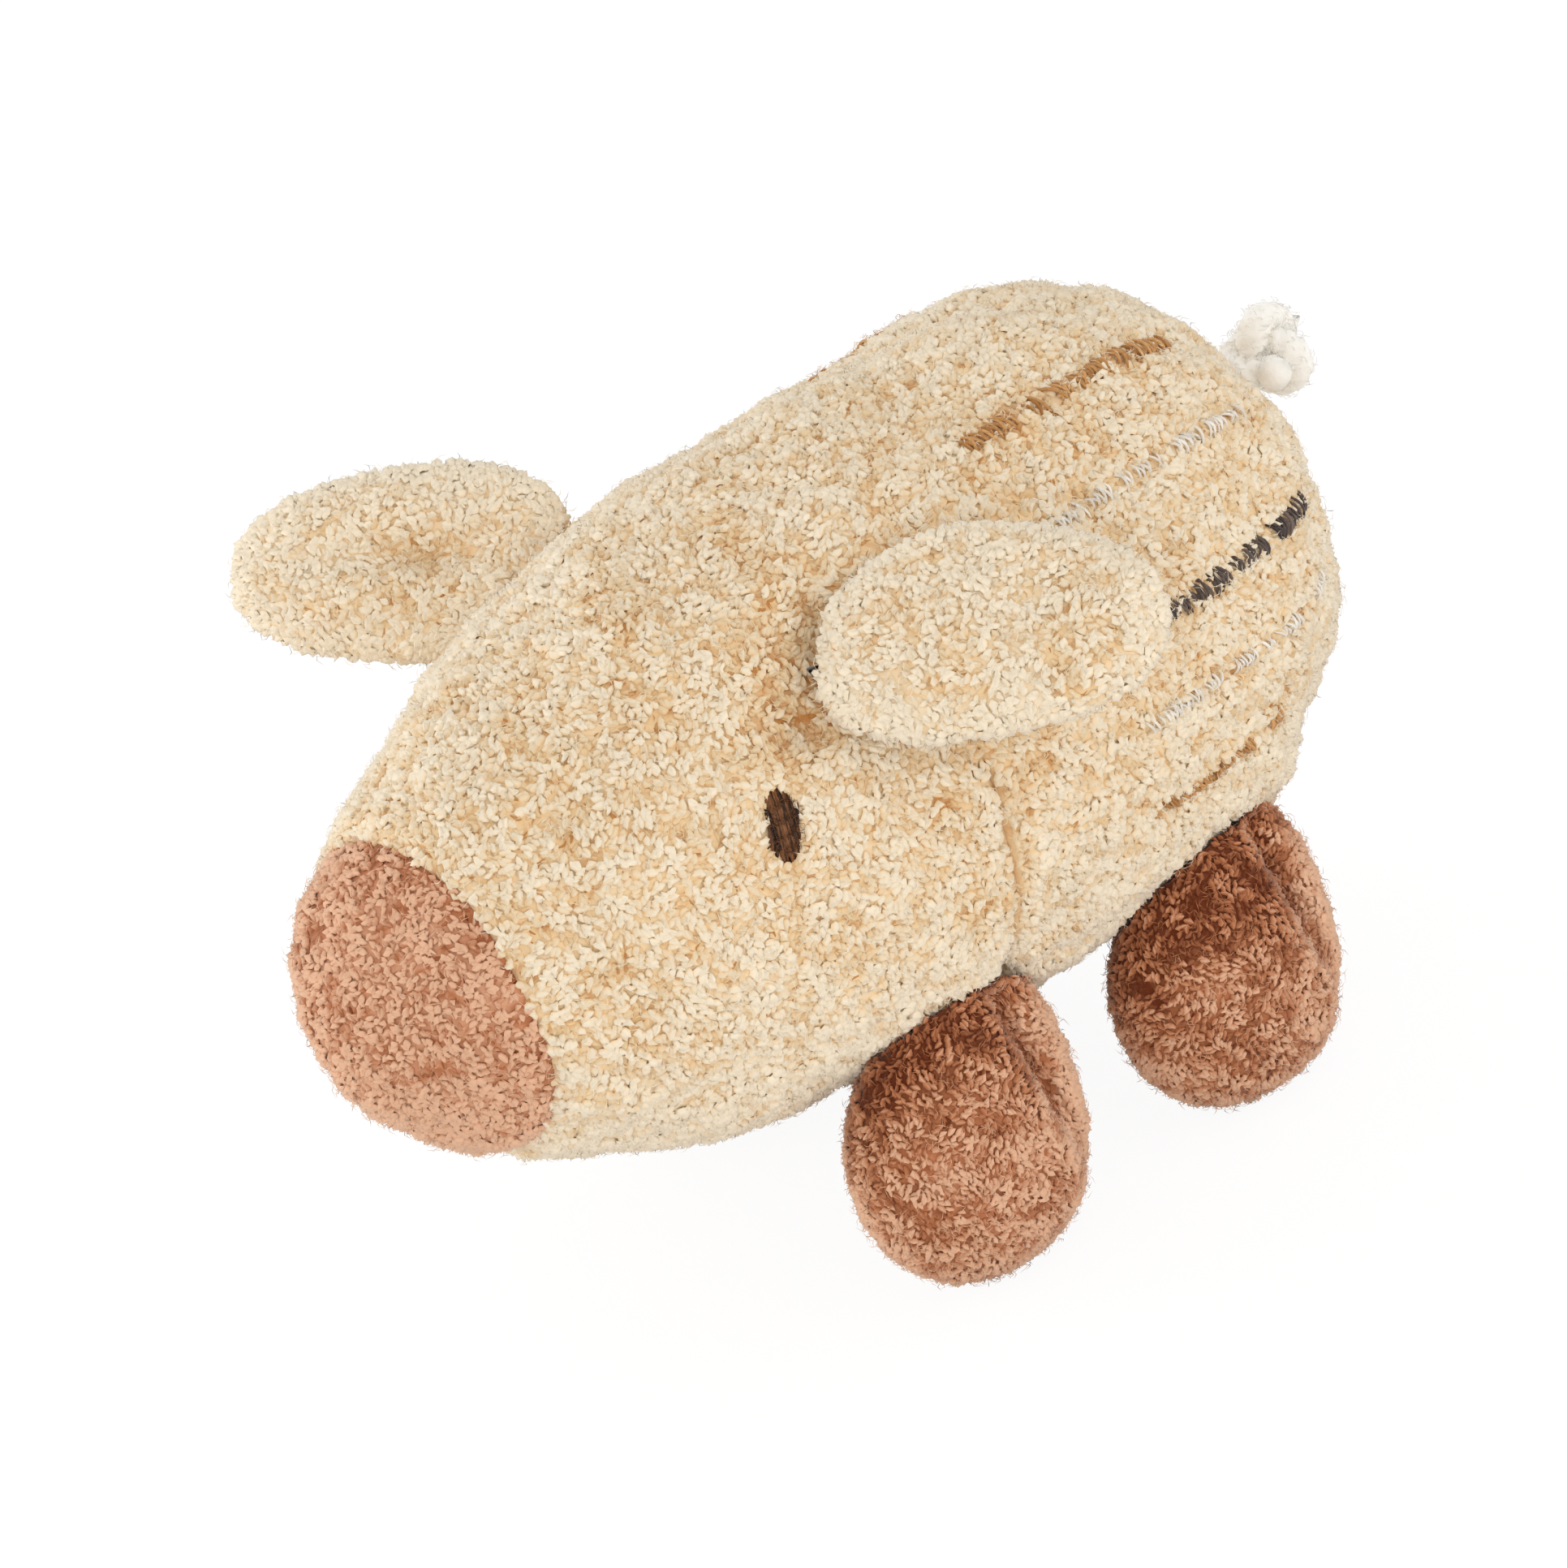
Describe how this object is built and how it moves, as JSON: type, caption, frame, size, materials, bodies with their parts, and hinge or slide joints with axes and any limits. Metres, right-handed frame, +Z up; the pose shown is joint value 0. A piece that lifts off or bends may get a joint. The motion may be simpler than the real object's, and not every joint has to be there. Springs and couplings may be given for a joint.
{
  "type": "plush pig",
  "caption": "Stuffed terry piglet with a barrel body, terracotta snout cap and feet, floppy ears, stitched eyes and flank stripes, and a knotted cord tail.",
  "frame": {"origin": "centre of the bounding box, on the floor the feet stand on", "axes": "+X to the piglet's left, +Y from the snout to the tail, +Z up"},
  "size_m": [0.1486, 0.198, 0.1199],
  "materials": {
    "cream_terry": "looped terry, dull",
    "terracotta_terry": "short looped pile, dull",
    "filling": "loose polyester fibre",
    "cotton_cord": "soft twisted cotton",
    "eye_thread": "satin stitch, slight sheen",
    "brown_thread": "satin stitch, slight sheen",
    "white_thread": "satin stitch, slight sheen",
    "dark_thread": "satin stitch, slight sheen",
    "amber_thread": "satin stitch, slight sheen"
  },
  "bodies": {
    "body": {"snout_cover": "terracotta_terry", "head_cover": "cream_terry", "torso_cover": "cream_terry", "belly_panel": "cream_terry", "body_stuffing": "filling", "left_eye": "eye_thread", "right_eye": "eye_thread", "left_upper_brown_stripe": "brown_thread", "left_upper_white_stripe": "white_thread", "left_dark_stripe": "dark_thread", "left_lower_white_stripe": "white_thread", "left_lower_amber_stripe": "amber_thread", "right_upper_brown_stripe": "brown_thread", "right_upper_white_stripe": "white_thread", "right_dark_stripe": "dark_thread", "right_lower_white_stripe": "white_thread", "right_lower_amber_stripe": "amber_thread"},
    "front_left_leg": {"front_left_leg_cover": "terracotta_terry", "front_left_leg_stuffing": "filling"},
    "front_right_leg": {"front_right_leg_cover": "terracotta_terry", "front_right_leg_stuffing": "filling"},
    "rear_left_leg": {"rear_left_leg_cover": "terracotta_terry", "rear_left_leg_stuffing": "filling"},
    "rear_right_leg": {"rear_right_leg_cover": "terracotta_terry", "rear_right_leg_stuffing": "filling"},
    "left_ear": {"left_ear_front": "cream_terry", "left_ear_back": "cream_terry"},
    "right_ear": {"right_ear_front": "cream_terry", "right_ear_back": "cream_terry"},
    "tail": {"tail": "cotton_cord"}
  },
  "joints": [
    {"name": "front_left_leg_seam", "type": "hinge", "parent": "body", "child": "front_left_leg", "pos_m": [0.03599, -0.02545, 0.0443], "axis": [0, 1, 0], "range_deg": [-35, 12], "stiffness_Nm_per_rad": 0.15},
    {"name": "front_right_leg_seam", "type": "hinge", "parent": "body", "child": "front_right_leg", "pos_m": [-0.03647, -0.02545, 0.0443], "axis": [0, -1, 0], "range_deg": [-17, 30], "stiffness_Nm_per_rad": 0.15},
    {"name": "rear_left_leg_seam", "type": "hinge", "parent": "body", "child": "rear_left_leg", "pos_m": [0.03851, 0.02725, 0.0424], "axis": [0, 1, 0], "range_deg": [-35, 12], "stiffness_Nm_per_rad": 0.15},
    {"name": "rear_right_leg_seam", "type": "hinge", "parent": "body", "child": "rear_right_leg", "pos_m": [-0.03899, 0.02725, 0.0424], "axis": [0, -1, 0], "range_deg": [-35, 12], "stiffness_Nm_per_rad": 0.15},
    {"name": "left_ear_seam", "type": "hinge", "parent": "body", "child": "left_ear", "pos_m": [0.03261, -0.02095, 0.10302], "axis": [0.278, -0.8401, -0.4658], "range_deg": [-12, 30], "stiffness_Nm_per_rad": 0.04},
    {"name": "right_ear_seam", "type": "hinge", "parent": "body", "child": "right_ear", "pos_m": [-0.03309, -0.02095, 0.10302], "axis": [0.278, 0.8401, 0.4658], "range_deg": [-12, 30], "stiffness_Nm_per_rad": 0.04},
    {"name": "tail_seam", "type": "hinge", "parent": "body", "child": "tail", "pos_m": [-0.00024, 0.07425, 0.0766], "axis": [1, 0, 0], "range_deg": [-25, 35], "stiffness_Nm_per_rad": 0.02}
  ]
}
